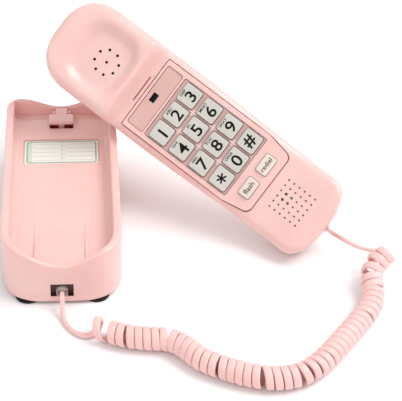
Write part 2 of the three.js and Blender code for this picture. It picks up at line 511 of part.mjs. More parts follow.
// ---- the frame: the middle of base and handset together stands over the origin ----
root.updateMatrixWorld(true);
const extent = new THREE.Box3();
root.traverse((m) => {
  if (m.isMesh && !/^(cord|plug)_/.test(m.name)) extent.expandByObject(m, true);
});
root.position.set(-(extent.min.x + extent.max.x) / 2, -(extent.min.y + extent.max.y) / 2, -extent.min.z);

export default group;
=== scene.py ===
import math
import random
import bmesh
import bpy
from mathutils import Matrix, Vector


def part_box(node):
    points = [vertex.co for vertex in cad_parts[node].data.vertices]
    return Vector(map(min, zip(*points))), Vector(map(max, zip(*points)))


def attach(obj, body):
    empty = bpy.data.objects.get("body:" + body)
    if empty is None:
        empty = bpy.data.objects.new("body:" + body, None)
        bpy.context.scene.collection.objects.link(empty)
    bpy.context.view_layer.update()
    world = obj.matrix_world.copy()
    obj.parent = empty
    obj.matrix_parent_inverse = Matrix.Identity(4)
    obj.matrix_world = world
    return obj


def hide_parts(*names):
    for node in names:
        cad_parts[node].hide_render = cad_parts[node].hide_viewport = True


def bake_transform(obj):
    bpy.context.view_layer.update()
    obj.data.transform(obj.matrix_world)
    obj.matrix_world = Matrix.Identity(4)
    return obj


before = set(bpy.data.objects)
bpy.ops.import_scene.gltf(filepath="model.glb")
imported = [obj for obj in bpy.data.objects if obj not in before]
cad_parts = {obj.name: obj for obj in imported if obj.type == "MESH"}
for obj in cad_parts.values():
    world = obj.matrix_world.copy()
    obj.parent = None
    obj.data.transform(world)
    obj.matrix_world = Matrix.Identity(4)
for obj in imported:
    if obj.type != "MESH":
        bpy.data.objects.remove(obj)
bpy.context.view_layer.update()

mm = 0.001
scene = bpy.context.scene
link = scene.collection.objects.link

# where the base stands and the lifted handset lies; the handset's y axis starts at its ear end
shellLow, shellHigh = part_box("base_shell")
basePlace = Matrix.Translation(((shellLow[0] + shellHigh[0]) / 2, (shellLow[1] + shellHigh[1]) / 2, 0))
handsetTurns = ((-3.4, "Z"), (40.4, "X"), (52.82, "Z"), (-14, "Y"))   # turn, lean, spin and roll in degrees
handsetPlace = basePlace @ Matrix.Translation(Vector((2.29, 78.73, 114.15)) * mm)
for degrees, axis in handsetTurns:
    handsetPlace = handsetPlace @ Matrix.Rotation(math.radians(degrees), 4, axis)


def ease(t):
    t = min(1, max(0, t))
    return t * t * (3 - 2 * t)


def mix(a, b, t):
    return a + (b - a) * t


# camera
cameraSpec = {"lens": 125.37, "shiftX": 0.1194, "place": (-0.05735, -0.76806, 0.61756),
              "right": (0.99873, -0.04857, 0.01375), "up": (0.01908, 0.61552, 0.78789),
              "ahead": (0.04673, 0.78662, -0.61566)}
cameraData = bpy.data.cameras.new("camera")
cameraData.lens = cameraSpec["lens"]
cameraData.sensor_width = 36
cameraData.shift_x = cameraSpec["shiftX"]
cameraData.clip_start, cameraData.clip_end = 0.05, 20
camera = bpy.data.objects.new("camera", cameraData)
link(camera)
axes = [Vector(cameraSpec[k]) for k in ("right", "up", "ahead")]
turned = Matrix((axes[0], axes[1], -axes[2])).transposed().to_4x4()
camera.matrix_world = Matrix.Translation(cameraSpec["place"]) @ turned
scene.camera = camera
scene.view_settings.view_transform = "Standard"
print("camera set")


# shader help
class Wire:
    # a socket in a material's tree; sums on it add Math nodes
    def __init__(self, tree, socket):
        self.tree = tree
        self.socket = socket

    def maths(self, operation, *others):
        return addNode(self.tree, "ShaderNodeMath", {"operation": operation},
                       dict(enumerate((self, *others))))

    def __add__(self, other): return self.maths("ADD", other)
    __radd__ = __add__
    def __sub__(self, other): return self.maths("SUBTRACT", other)
    def __rsub__(self, other):
        return addNode(self.tree, "ShaderNodeMath", {"operation": "SUBTRACT"}, {0: other, 1: self})

    def __mul__(self, other): return self.maths("MULTIPLY", other)
    __rmul__ = __mul__
    def __truediv__(self, other): return self.maths("DIVIDE", other)
    def __lt__(self, other): return self.maths("LESS_THAN", other)
    def __gt__(self, other): return self.maths("GREATER_THAN", other)
    def __abs__(self): return self.maths("ABSOLUTE")
    def most(self, other): return self.maths("MAXIMUM", other)
    def least(self, other): return self.maths("MINIMUM", other)

    def soft(self, low, high):
        # 0 below low, 1 above high, smooth between
        return addNode(self.tree, "ShaderNodeMapRange", {"interpolation_type": "SMOOTHSTEP"},
                       {"Value": self, "From Min": low, "From Max": high}, "Result")


def addNode(tree, kind, settings, values, out=0):
    # any node: its settings first, then the values or wires of its sockets
    node = tree.nodes.new(kind)
    for key, value in settings.items():
        setattr(node, key, value)
    for key, value in values.items():
        if isinstance(value, Wire):
            tree.links.new(value.socket, node.inputs[key])
        else:
            node.inputs[key].default_value = value
    return Wire(tree, node.outputs[out])


def tone(r, g, b):
    # a screen colour, 0 to 255, as the renderer's own
    def one(v):
        v /= 255
        return v / 12.92 if v < 0.04045 else ((v + 0.055) / 1.055) ** 2.4
    return (one(r), one(g), one(b))


class Finish:
    # one material: its shader, and its place in the piece's own space
    def __init__(self, name, **fixed):
        self.material = bpy.data.materials.new(name)
        self.material.use_nodes = True
        self.tree = self.material.node_tree
        self.shader = self.tree.nodes["Principled BSDF"]
        for key, value in fixed.items():
            self.shader.inputs[key.replace("_", " ")].default_value = value
        self.coords = self.add("ShaderNodeTexCoord", {}, {}, "Object")

    def add(self, kind, settings, values, out=0):
        return addNode(self.tree, kind, settings, values, out)

    def grain(self, scale, detail=2, rough=0.5, coords=None):
        return self.add("ShaderNodeTexNoise", {}, {"Vector": coords or self.coords, "Scale": scale,
                        "Detail": detail, "Roughness": rough}, "Fac")

    def blend(self, factor, first, second):
        def colour(c):
            return c if isinstance(c, Wire) else (*c, 1)
        return self.add("ShaderNodeMix", {"data_type": "RGBA"},
                        {0: factor, 6: colour(first), 7: colour(second)}, 2)

    def axis(self, which):
        return self.add("ShaderNodeSeparateXYZ", {}, {0: self.coords}, which)

    def bump(self, height, depth, strength=1.0):
        return self.add("ShaderNodeBump", {}, {"Height": height, "Distance": depth, "Strength": strength},
                        "Normal")

    def feed(self, **sockets):
        for key, wire in sockets.items():
            self.tree.links.new(wire.socket, self.shader.inputs[key.replace("_", " ")])
        return self.material


def mouldedPlastic(name, colour, shade, rough=0.3, grainDepth=0.00001, coat=0.0, glow=0.0, shine=0.45):
    # moulded ABS: faint flow clouds, a fine orange peel, tiny handling marks in the gloss
    f = Finish(name, Specular_IOR_Level=shine, Coat_Weight=coat, Coat_Roughness=0.12, Subsurface_Weight=glow,
               Subsurface_Scale=0.005)
    clouds = f.grain(38, 3)
    peel = f.grain(1500, 2, 0.6)
    rubs = f.grain(420, 5, 0.75)
    base = f.blend(clouds.soft(0.3, 0.75), tone(*colour), tone(*shade))
    return f.feed(Base_Color=base, Roughness=rough - 0.06 + 0.1 * rubs + 0.05 * clouds,
                  Normal=f.bump(peel, grainDepth, 0.5))


pinkPlastic = mouldedPlastic("pinkPlastic", (237, 195, 190), (234, 189, 184), coat=0.35, glow=0.3)
# keypad plate: its pink is darkened to paint in the shade that falls between the keys; the base's bottom
# plate reuses it
platePlastic = mouldedPlastic("platePlastic", (200, 164, 159), (195, 158, 153), 0.38)
ridgePlastic = mouldedPlastic("ridgePlastic", (228, 200, 194), (222, 193, 187), 0.38)
panelPlastic = mouldedPlastic("panelPlastic", (214, 174, 167), (208, 168, 161), 0.42)
keyPlastic = mouldedPlastic("keyPlastic", (200, 198, 190), (194, 192, 184), 0.3, coat=0.3)
softKeyPlastic = mouldedPlastic("softKeyPlastic", (224, 210, 201), (219, 204, 195), 0.3, coat=0.3)
darkPlastic = mouldedPlastic("darkPlastic", (30, 27, 26), (40, 36, 34), 0.5)
jackPlastic = mouldedPlastic("jackPlastic", (96, 50, 42), (76, 38, 32), 0.4)
boreShade = mouldedPlastic("boreShade", (16, 9, 8), (24, 13, 12), 0.7, shine=0.08)
dimpleShade = mouldedPlastic("dimpleShade", (166, 106, 100), (154, 95, 89), 0.6, shine=0.15)
grooveShade = mouldedPlastic("grooveShade", (168, 80, 70), (158, 71, 62), 0.5, shine=0.15)
gapShade = mouldedPlastic("gapShade", (236, 128, 108), (230, 118, 98), 0.5, glow=0.3)
softGapShade = mouldedPlastic("softGapShade", (214, 158, 150), (208, 150, 142), 0.5)


def footRubber():
    f = Finish("footRubber", Specular_IOR_Level=0.3)
    pores = f.grain(900, 4, 0.7)
    dust = f.grain(70, 3).soft(0.45, 0.8)
    return f.feed(Base_Color=f.blend(dust, tone(26, 24, 23), tone(48, 44, 42)), Roughness=0.72 + 0.15 * dust,
                  Normal=f.bump(pores, 0.00005, 0.7))


def speckled(name, first, second, grain, low, span, depth, strength=0.4, **fixed):
    # one fine grain drives the colour, the gloss and the relief
    f = Finish(name, **fixed)
    speck = f.grain(*grain)
    return f.feed(Base_Color=f.blend(speck, first, second), Roughness=low + span * speck,
                  Normal=f.bump(speck, depth, strength))


def circuitGreen():
    f = Finish("circuitGreen")
    tracks = f.add("ShaderNodeTexVoronoi", {"distance": "MANHATTAN"}, {"Vector": f.coords, "Scale": 260},
                   "Distance").soft(0.28, 0.34)
    return f.feed(Base_Color=f.blend(tracks, tone(34, 92, 52), tone(24, 66, 38)),
                  Roughness=0.35 + 0.2 * tracks, Normal=f.bump(tracks, 0.00003, 0.5))


def printInk(name, colour):
    worn = tuple(min(1, c * 1.25 + 0.006) for c in colour)
    return speckled(name, colour, worn, (1400, 4, 0.8), 0.42, 0.2, 0.000005, Specular_IOR_Level=0.12)


def clearPlastic(name, alpha, tint):
    f = Finish(name, Specular_IOR_Level=0.5, IOR=1.49)
    streak = f.grain(160, 3)
    return f.feed(Base_Color=f.blend(streak, tint, tuple(c * 0.93 for c in tint)),
                  Roughness=0.05 + 0.08 * streak, Alpha=alpha + 0.05 * streak)


rubber, board = footRubber(), circuitGreen()
steel = speckled("brushedSteel", tone(168, 168, 170), tone(190, 190, 192), (700, 4, 0.7), 0.25, 0.2, 0.00001,
                 Metallic=1.0)
gilt = speckled("giltMetal", tone(214, 172, 92), tone(228, 190, 112), (1500, 3, 0.7), 0.22, 0.2, 0.000006,
                Metallic=1.0)
mat = speckled("matRubber", tone(138, 134, 130), tone(120, 116, 112), (500, 4, 0.7), 0.7, 0.15, 0.00003, 0.5)
blackInk, greyInk = printInk("blackInk", tone(9, 8, 8)), printInk("greyInk", tone(58, 53, 51))
windowClear = clearPlastic("windowClear", 0.07, tone(245, 245, 242))
plugClear = clearPlastic("plugClear", 0.24, tone(244, 226, 220))


def cordVinyl():
    # soft vinyl: smooth skin, faint drawing lines along it
    f = Finish("cordVinyl", Specular_IOR_Level=0.45, Subsurface_Weight=0.15, Subsurface_Scale=0.002)
    haze = f.grain(55, 3)
    skin = f.grain(1100, 3, 0.6)
    return f.feed(Base_Color=f.blend(haze.soft(0.3, 0.7), tone(240, 198, 194), tone(236, 191, 187)),
                  Roughness=0.34 + 0.12 * skin, Normal=f.bump(skin, 0.000012, 0.5))


cordSkin = cordVinyl()


# modelling help
def rest():
    if bpy.context.mode != "OBJECT":
        bpy.ops.object.mode_set(mode="OBJECT")
    bpy.ops.object.select_all(action="DESELECT")


def activate(obj):
    rest()
    obj.select_set(True)
    bpy.context.view_layer.objects.active = obj


def edit(obj):
    activate(obj)
    bpy.ops.object.mode_set(mode="EDIT")


def pick(kind, test):
    # selects the vertices, edges or faces that pass the test
    obj = bpy.context.object
    bpy.ops.mesh.select_mode(type=kind)
    bpy.ops.mesh.select_all(action="DESELECT")
    shape = bmesh.from_edit_mesh(obj.data)
    parts = {"VERT": shape.verts, "EDGE": shape.edges, "FACE": shape.faces}[kind]
    for part in parts:
        if test(part):
            part.select_set(True)
    shape.select_flush_mode()
    bmesh.update_edit_mesh(obj.data)


def atHeight(edge, z):
    return all(abs(v.co.z - z) < 1e-6 for v in edge.verts)


def pickAll():
    bpy.ops.mesh.select_all(action="SELECT")


def middle(edge):
    return (edge.verts[0].co + edge.verts[1].co) / 2


def along(edge):
    return (edge.verts[1].co - edge.verts[0].co).normalized()


def bevel(width, steps, what="EDGES", **more):
    bpy.ops.mesh.bevel(offset=width * mm, segments=steps, affect=what, **more)


def shift(x, y, z):
    return Matrix.Translation(Vector((x, y, z)) * mm)


def fixPlace():
    # place and turn go into the mesh
    bpy.ops.object.transform_apply(location=True, rotation=True, scale=True)


def copyOf(obj, name):
    twin = obj.copy()
    twin.data = obj.data.copy()
    twin.name = name
    link(twin)
    return twin


def block(name, low, high):
    # a box between two corners, in millimetres of the part it belongs to
    rest()
    size = [(b - a) * mm for a, b in zip(low, high)]
    centre = [(a + b) / 2 * mm for a, b in zip(low, high)]
    bpy.ops.mesh.primitive_cube_add(size=1, location=centre)
    obj = bpy.context.object
    obj.name = name
    obj.scale = size
    fixPlace()
    return obj


def roundedBlock(name, low, high, corner, steps=4, top=0, topSteps=2):
    # the upright edges are rounded first, then the upper ones
    obj = block(name, low, high)
    edit(obj)
    pick("EDGE", lambda e: abs(along(e).z) > 0.9)
    bevel(corner, steps)
    if top:
        z = high[2] * mm
        pick("EDGE", lambda e: atHeight(e, z))
        bevel(top, topSteps)
    rest()
    return obj


def peg(name, radius, low, high, x, y, sides=16):
    # an upright round bar
    rest()
    bpy.ops.mesh.primitive_cylinder_add(vertices=sides, radius=radius * mm, depth=(high - low) * mm,
                                        location=(x * mm, y * mm, (low + high) / 2 * mm))
    obj = bpy.context.object
    obj.name = name
    fixPlace()
    return obj


def startPlane(name, size, place=(0, 0, 0), turn=0):
    # a flat start, left in edit mode with all of it selected
    rest()
    bpy.ops.mesh.primitive_plane_add(size=1, location=place, rotation=(turn, 0, 0))
    obj = bpy.context.object
    obj.name = name
    fixPlace()
    edit(obj)
    pickAll()
    bpy.ops.transform.resize(value=size)
    return obj


def raiseBy(height):
    bpy.ops.transform.translate(value=(0, 0, height * mm))


def extrude(x, y, z):
    bpy.ops.mesh.extrude_region_move(TRANSFORM_OT_translate={"value": (x, y, z)})


def paint(obj, material):
    obj.data.materials.clear()
    obj.data.materials.append(material)
    return obj


def join(parts, name):
    rest()
    for part in parts:
        part.select_set(True)
    bpy.context.view_layer.objects.active = parts[0]
    bpy.ops.object.join()
    parts[0].name = name
    return parts[0]


def modify(obj, kind, **settings):
    activate(obj)
    modifier = obj.modifiers.new(kind.lower(), kind)
    for key, value in settings.items():
        setattr(modifier, key, value)
    bpy.ops.object.modifier_apply(modifier=modifier.name)


def carve(obj, tool, how="DIFFERENCE"):
    # cuts or adds the tool, whose own material stays on the faces it leaves
    for material in tool.data.materials:
        if material.name not in obj.data.materials:
            obj.data.materials.append(material)
    modify(obj, "BOOLEAN", object=tool, operation=how, solver="EXACT", material_mode="TRANSFER",
           use_self=tool.name.endswith("s"))
    bpy.data.objects.remove(tool)
    return obj


def smooth(obj, angle=32):
    activate(obj)
    bpy.ops.object.shade_smooth_by_angle(angle=math.radians(angle))


def level(obj, angle=32):
    # soft edges, but the large flat faces stay flat
    smooth(obj, angle)
    modify(obj, "WEIGHTED_NORMAL", keep_sharp=True, weight=80)
    return obj


def settle(obj, place, body, slot, *nodes):
    # moves the finished mesh to its place and ties it to its body
    activate(obj)
    obj.matrix_world = place @ obj.matrix_world
    fixPlace()
    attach(obj, body)
    if nodes:
        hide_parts(*nodes)
    rest()
    return obj


rest()

# cord: one flat cord from the base's plug, through the coil, to the handset's plug
cordSpec = {"width": 5.0, "thick": 2.5, "leadWidth": 3.0, "coilMiddle": 6.25, "pitch": 5.08,
            "firstTurn": 10.5, "turnSteps": 20, "startAngle": -100, "firstLean": 4.2, "sample": 0.5}
leadBaseRoute = [(0, -80.5, 11.3), (0, -83.5, 11.1), (0, -87, 8.2), (0, -91, 3.9), (1.2, -97, 1.8),
                 (5, -104.2, 1.7), (9.6, -109.2, 1.7), (14, -111.8, 1.7), (17.5, -112.4, 1.7)]
coilRoute = [(x, y, 7.6) for x, y in (
    (21, -109.6), (25, -111.4), (32, -115.3), (43, -119.3), (54.5, -121.5), (67.2, -122.9), (74.6, -127.6),
    (86.4, -141), (104.5, -151.4), (116.5, -156.2), (131.5, -159), (146, -156.2), (158.3, -147.8),
    (180.8, -121.3), (200.1, -94.3))]
coilRoute += [(203.6, -80, 8.4), (203.4, -71.5, 12.5), (208.5, -64, 18.5), (219, -60.4, 22.5)]
handsetFromBase = basePlace.inverted() @ handsetPlace
mouthPoint = basePlace.inverted() @ handsetPlace @ (Vector((0, -226.8, -11.5)) * mm) / mm
mouthOut = handsetFromBase.to_3x3() @ Vector((0, -1, 0))
leadHandsetRoute = [mouthPoint, mouthPoint + mouthOut * 6.5, Vector((189, -40.2, 18.2)),
                    Vector((197.6, -48.5, 18.2))]


def throughPoints(points, step):
    # a smooth line through the points, sampled evenly
    pts = [Vector(p) for p in points]
    pts = [2 * pts[0] - pts[1], *pts, 2 * pts[-1] - pts[-2]]
    line = []
    for p0, p1, p2, p3 in zip(pts, pts[1:], pts[2:], pts[3:]):
        t0, t1 = 0, (p1 - p0).length ** 0.5
        t2 = t1 + (p2 - p1).length ** 0.5
        t3 = t2 + (p3 - p2).length ** 0.5
        for i in range(24):
            t = t1 + (t2 - t1) * i / 24
            a1, a2, a3 = (p.lerp(q, (t - a) / (b - a)) for p, q, a, b in (
                (p0, p1, t0, t1), (p1, p2, t1, t2), (p2, p3, t2, t3)))
            b1, b2 = a1.lerp(a2, (t - t0) / (t2 - t0)), a2.lerp(a3, (t - t1) / (t3 - t1))
            line.append(b1.lerp(b2, (t - t1) / (t2 - t1)))
    line.append(pts[-2])
    return evenly(line, step)


def evenly(line, step):
    out, left = [line[0].copy()], step
    for a, b in zip(line, line[1:]):
        length = (b - a).length
        while left <= length and length > 0:
            out.append(a.lerp(b, left / length))
            left += step
        left -= length
    if (out[-1] - line[-1]).length > step * 0.4:
        out.append(line[-1].copy())
    return out


def relaxed(line, times):
    for _ in range(times):
        line = [line[0], *[(a + 2 * b + c) / 4 for a, b, c in zip(line, line[1:], line[2:])], line[-1]]
    return line


def directions(line):
    ends = [line[0], *line, line[-1]]
    return [(c - a).normalized() for a, c in zip(ends, ends[2:])]


def coilTurns():
    # the coil's turns lean on each other in small groups, so the gaps at the bends are uneven
    c = cordSpec
    random.seed(11)
    axis = [p + Vector((0, 0, 0.16)) for p in relaxed(throughPoints(coilRoute, c["sample"]), 60)]
    ahead = directions(axis)
    groups, start = [], 0
    while start < len(axis):
        length = int(random.choice((11, 21, 31, 42, 52)))
        groups.append((start, min(len(axis), start + length)))
        start += length
    leaning = []
    for a, b in groups:
        common = sum((ahead[i] for i in range(a, b)), Vector()).normalized()
        leaning += [ahead[i].lerp(common, 0.62).normalized() for i in range(a, b)]
    leaning = relaxed(leaning, 12)
    leaning = [v.normalized() for v in leaning]
    side = Vector((0, 0, 1)).cross(leaning[0]).normalized()   # toward the back at the coil's start
    sides = []
    for v in leaning:
        side = (side - v * side.dot(v)).normalized()
        sides.append(side.copy())
    points, outward, at, phase = [], [], 0.0, math.radians(c["startAngle"])
    last = len(axis) - 2
    while at < last:
        i = int(at)
        t = at - i
        centre = axis[i].lerp(axis[i + 1], t)
        v = leaning[i].lerp(leaning[i + 1], t).normalized()
        s = sides[i].lerp(sides[i + 1], t).normalized()
        up = v.cross(s)
        radial = s * math.cos(phase) + up * math.sin(phase)
        first = math.sin(math.pi * min(1, len(points) / (1.15 * c["turnSteps"]))) ** 2
        points.append(centre + radial * c["coilMiddle"] - v * c["firstLean"] * first)
        outward.append(radial)
        bend = (leaning[min(i + 4, last)] - leaning[max(i - 4, 0)]).length / 4
        turn = c["pitch"] * (1 + min(0.55, 6.6 * bend))
        done = len(points) / c["turnSteps"]
        turn = mix(c["firstTurn"], turn, ease(done - 0.35))
        at += turn / c["turnSteps"] / c["sample"]
        phase += 2 * math.pi / c["turnSteps"]
    return points, outward


def carried(line, first, final):
    # the cord's upright along a lead, turned evenly so that it ends as the next stretch begins
    ahead = directions(line)
    up, ups = Vector(first), []
    for v in ahead:
        up = (up - v * up.dot(v)).normalized()
        ups.append(up.copy())
    target = (Vector(final) - ahead[-1] * Vector(final).dot(ahead[-1])).normalized()
    angle = ups[-1].angle(target) * (1 if ahead[-1].dot(ups[-1].cross(target)) > 0 else -1)
    return [Matrix.Rotation(angle * ease(i / (len(line) - 1)), 3, v) @ u
            for i, (u, v) in enumerate(zip(ups, ahead))]


def makeCord():
    c = cordSpec
    turns, outward = coilTurns()
    count = len(turns) / c["turnSteps"]
    startWay = (turns[1] - turns[0]).normalized()
    # leave the coil where it heads for the handset
    best = max(range(len(turns) - c["turnSteps"], len(turns) - 1),
               key=lambda i: (turns[i + 1] - turns[i]).normalized().dot(
                   (leadHandsetRoute[-1] - turns[i]).normalized()))
    turns, outward = turns[:best + 1], outward[:best + 1]
    endWay = (turns[-1] - turns[-2]).normalized()
    leadIn = throughPoints([*leadBaseRoute, turns[0] - startWay * 1.1, turns[0]], 1.6)
    leadOut = throughPoints([turns[-1], turns[-1] + endWay * 7, *reversed(leadHandsetRoute)], 1.6)
    leadIn = [p for p in leadIn[:-1] if (p - turns[0]).length > 1.1] + [turns[0]]
    leadOut = [turns[-1]] + [p for p in leadOut[1:] if (p - turns[-1]).length > 1.1]
    inUp = carried(leadIn, (0, 0, 1), outward[0])
    outUp = carried(leadOut, outward[-1], handsetFromBase.to_3x3() @ Vector((0, 0, 1)))
    line = leadIn[:-1] + turns + leadOut[1:]
    ups = inUp[:-1] + outward + outUp[1:]
    first, last = len(leadIn) - 1, len(leadIn) + len(turns) - 2
    for middlePoint in (first, last):
        for reach in (4, 5, 6, 7, 8, 9, 8, 7, 6, 5):
            for i in range(middlePoint - reach, middlePoint + reach + 1):
                line[i] = (line[i - 1] + 2 * line[i] + line[i + 1]) / 4
    ahead = directions(line)
    section = [(1.0, 0.0), (0.985, 0.42), (0.86, 0.8), (0.6, 1.0), (0.2, 1.0), (-0.2, 1.0), (-0.6, 1.0),
               (-0.86, 0.8), (-0.985, 0.42)]
    section += [(-x, -y) for x, y in section]
    shape = bmesh.new()
    rings = []
    for i, (p, v, up) in enumerate(zip(line, ahead, ups)):
        up = (up - v * up.dot(v)).normalized()
        side = v.cross(up)
        full = min(ease((i - first + 14) / 22), ease((last + 12 - i) / 20))
        w = mix(c["leadWidth"], c["width"], full) / 2
        h = c["thick"] / 2
        rings.append([shape.verts.new((p + side * x * w + up * y * h) * mm) for x, y in section])
    n = len(section)
    for a, b in zip(rings, rings[1:]):
        for k in range(n):
            shape.faces.new((a[k], a[(k + 1) % n], b[(k + 1) % n], b[k]))
    shape.faces.new(list(reversed(rings[0])))
    shape.faces.new(rings[-1])
    bmesh.ops.recalc_face_normals(shape, faces=shape.faces)
    mesh = bpy.data.meshes.new("curlyCord")
    shape.to_mesh(mesh)
    shape.free()
    cord = bpy.data.objects.new("curlyCord", mesh)
    link(cord)
    cord.matrix_world = basePlace
    smooth(paint(cord, cordSkin), 60)
    fixPlace()
    path = [basePlace @ (p * mm) for p in line]
    length = sum((b - a).length for a, b in zip(path, path[1:]))
    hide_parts("cord_lead_base", "cord_coil", "cord_lead_handset")
    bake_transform(cord)
    print(f"cord: {length:.3f} m, {count:.0f} turns")


# floor and light
stageSpec = {"sky": 0.84, "keyPower": 17, "fillPower": 2}


def makeStage():
    rest()
    bpy.ops.mesh.primitive_plane_add(size=8, location=(0, 0, -0.0002))
    floor = bpy.context.object
    floor.name = "floor"
    f = Finish("floorPaper", Specular_IOR_Level=0.1)
    clouds = f.grain(3, 2)
    paint(floor, f.feed(Base_Color=f.blend(clouds, tone(247, 247, 247), tone(244, 244, 245)),
                        Roughness=0.8 + 0.1 * clouds, Normal=f.bump(f.grain(900, 3), 0.00002, 0.3)))
    rest()
    scene.world = scene.world or bpy.data.worlds.new("studio")
    scene.world.use_nodes = True
    back = scene.world.node_tree.nodes["Background"]
    back.inputs[0].default_value = (1, 0.995, 0.99, 1)
    back.inputs[1].default_value = stageSpec["sky"]
    for name, place, size, power in (("keyLight", (0.9, -0.15, 1.4), 1.1, stageSpec["keyPower"]),
                                     ("fillLight", (-0.9, -0.9, 1.3), 1.4, stageSpec["fillPower"])):
        data = bpy.data.lights.new(name, "AREA")
        data.shape, data.size, data.energy = "DISK", size, power
        light = bpy.data.objects.new(name, data)
        link(light)
        light.location = place
        light.rotation_euler = (Vector((0, 0, 0.03)) - Vector(place)).to_track_quat("-Z", "Y").to_euler()


makeStage()
print("floor and light set")

# base shell
baseSpec = {"half": 39.5, "front": -79, "rear": 79, "foot": 1.6, "frontCorner": 28, "rearCorner": 9,
            "rimFront": 31.5, "rimRear": 49.2, "sideFront": 9.4, "sideRear": 7.1, "rimWidth": 5.6,
            "deckDrop": 3.6, "rearLip": 2.2, "frontLip": 4.2, "flatRim": 45, "flatDeck": 37, "wall": 2.2,
            "draft": 0.03}


# number card and window: half sizes, the printed frame's half size, its corner and its row height
cardSpec = {"y": 35.2, "card": (25.8, 11.75), "window": (26.2, 11.8), "frame": (24.0, 10.6), "corner": 1.6,
            "row": 4.1}


def baseAlong(y):
    return (y - baseSpec["front"]) / (baseSpec["rear"] - baseSpec["front"])


def rimLine(y):
    return mix(baseSpec["rimFront"], baseSpec["rimRear"], baseAlong(y))


def deckLine(y):
    return rimLine(y) - baseSpec["deckDrop"]


def onDeck(y):
    # a frame that lies on the sloping deck
    b = baseSpec
    slope = math.atan((b["rimRear"] - b["rimFront"]) / (b["rear"] - b["front"]))
    return shift(0, y, deckLine(y)) @ Matrix.Rotation(slope, 4, "X")


def rimTop(x, y):
    swell = 0.5 - 0.5 * math.cos(math.pi * min(1, abs(x) / (baseSpec["half"] - 9)))
    return rimLine(y) + mix(baseSpec["sideFront"], baseSpec["sideRear"], baseAlong(y)) * swell


def makeBase():
    b = baseSpec
    half, front, rear = b["half"], b["front"], b["rear"]
    shell = startPlane("baseShell", (2 * half * mm, (rear - front) * mm, 1), (0, 0, b["foot"] * mm))
    pick("VERT", lambda v: v.co.y < 0)
    bevel(b["frontCorner"], 18, "VERTICES", profile=0.56)
    pick("VERT", lambda v: v.co.y > 0.07 and abs(v.co.x) > 0.035)
    bevel(b["rearCorner"], 9, "VERTICES")
    pick("EDGE", lambda e: e.calc_length() > 0.02)
    bpy.ops.mesh.subdivide(number_cuts=27)
    # walls up, rim in, cradle down
    pickAll()
    extrude(0, 0, (b["flatRim"] - b["foot"]) * mm)
    top = b["flatRim"] * mm
    bpy.ops.mesh.inset(thickness=b["rimWidth"] * mm, depth=0)
    long = (rear - b["rearLip"]) - (front + b["frontLip"])
    bpy.ops.transform.resize(value=(1, long / (rear - front - 2 * b["rimWidth"]), 1),
                             center_override=(0, 0, top))
    bpy.ops.transform.translate(value=(0, (b["frontLip"] - b["rearLip"]) / 2 * mm, 0))
    extrude(0, 0, (b["flatDeck"] - b["flatRim"]) * mm)
    deck = b["flatDeck"] * mm
    pick("EDGE", lambda e: atHeight(e, deck))
    bevel(4.2, 6)
    pick("EDGE", lambda e: atHeight(e, top) and all(rimInset(v.co) < 0.6 for v in e.verts))
    bevel(1.5, 4)
    pick("EDGE", lambda e: atHeight(e, top) and all(rimInset(v.co) > 1.9 for v in e.verts))
    bevel(1.8, 5)
    pick("EDGE", lambda e: atHeight(e, b["foot"] * mm))
    bevel(2.4, 5)
    rest()
    # saddle: the rims rise to the sides, the deck slopes to the front
    for v in shell.data.vertices:
        x, y, z = v.co / mm
        lift = rimTop(x, y) - b["flatRim"]
        inside = insideCradle(x, y)
        if inside:
            u = min(1, max(0, (z - b["flatDeck"]) / (b["flatRim"] - 1.0 - b["flatDeck"])))
            v.co.z += (mix(deckLine(y) - b["flatDeck"], lift, u)) * mm
        else:
            u = min(1, max(0, (z - b["foot"]) / (b["flatRim"] - 1.3 - b["foot"])))
            v.co.z += lift * u * mm
        v.co.x *= 1 - b["draft"] * baseAlong(y) * max(0, v.co.z / mm - 12) / 44
    edit(shell)
    pickAll()
    bpy.ops.mesh.remove_doubles(threshold=0.002 * mm)
    bpy.ops.mesh.normals_make_consistent(inside=False)
    rest()
    paint(shell, pinkPlastic)
    # hollow under the deck, open below for its plate
    wall = b["wall"]
    hollow = block("hollowTool", (wall - half, front + wall, -1), (half - wall, rear - wall, 30))
    edit(hollow)
    for ahead, corner in ((True, b["frontCorner"]), (False, b["rearCorner"])):
        pick("EDGE", lambda e: abs(along(e).z) > 0.99 and (middle(e).y < 0) == ahead
             and abs(middle(e).x) > 0.03)
        bevel(corner - wall, 10)
    rest()
    for v in hollow.data.vertices:
        if v.co.z > 0:
            v.co.z = (deckLine(v.co.y / mm) - 4.2) * mm
    carve(shell, paint(hollow, gapShade))
    cutBase(shell)
    return shell


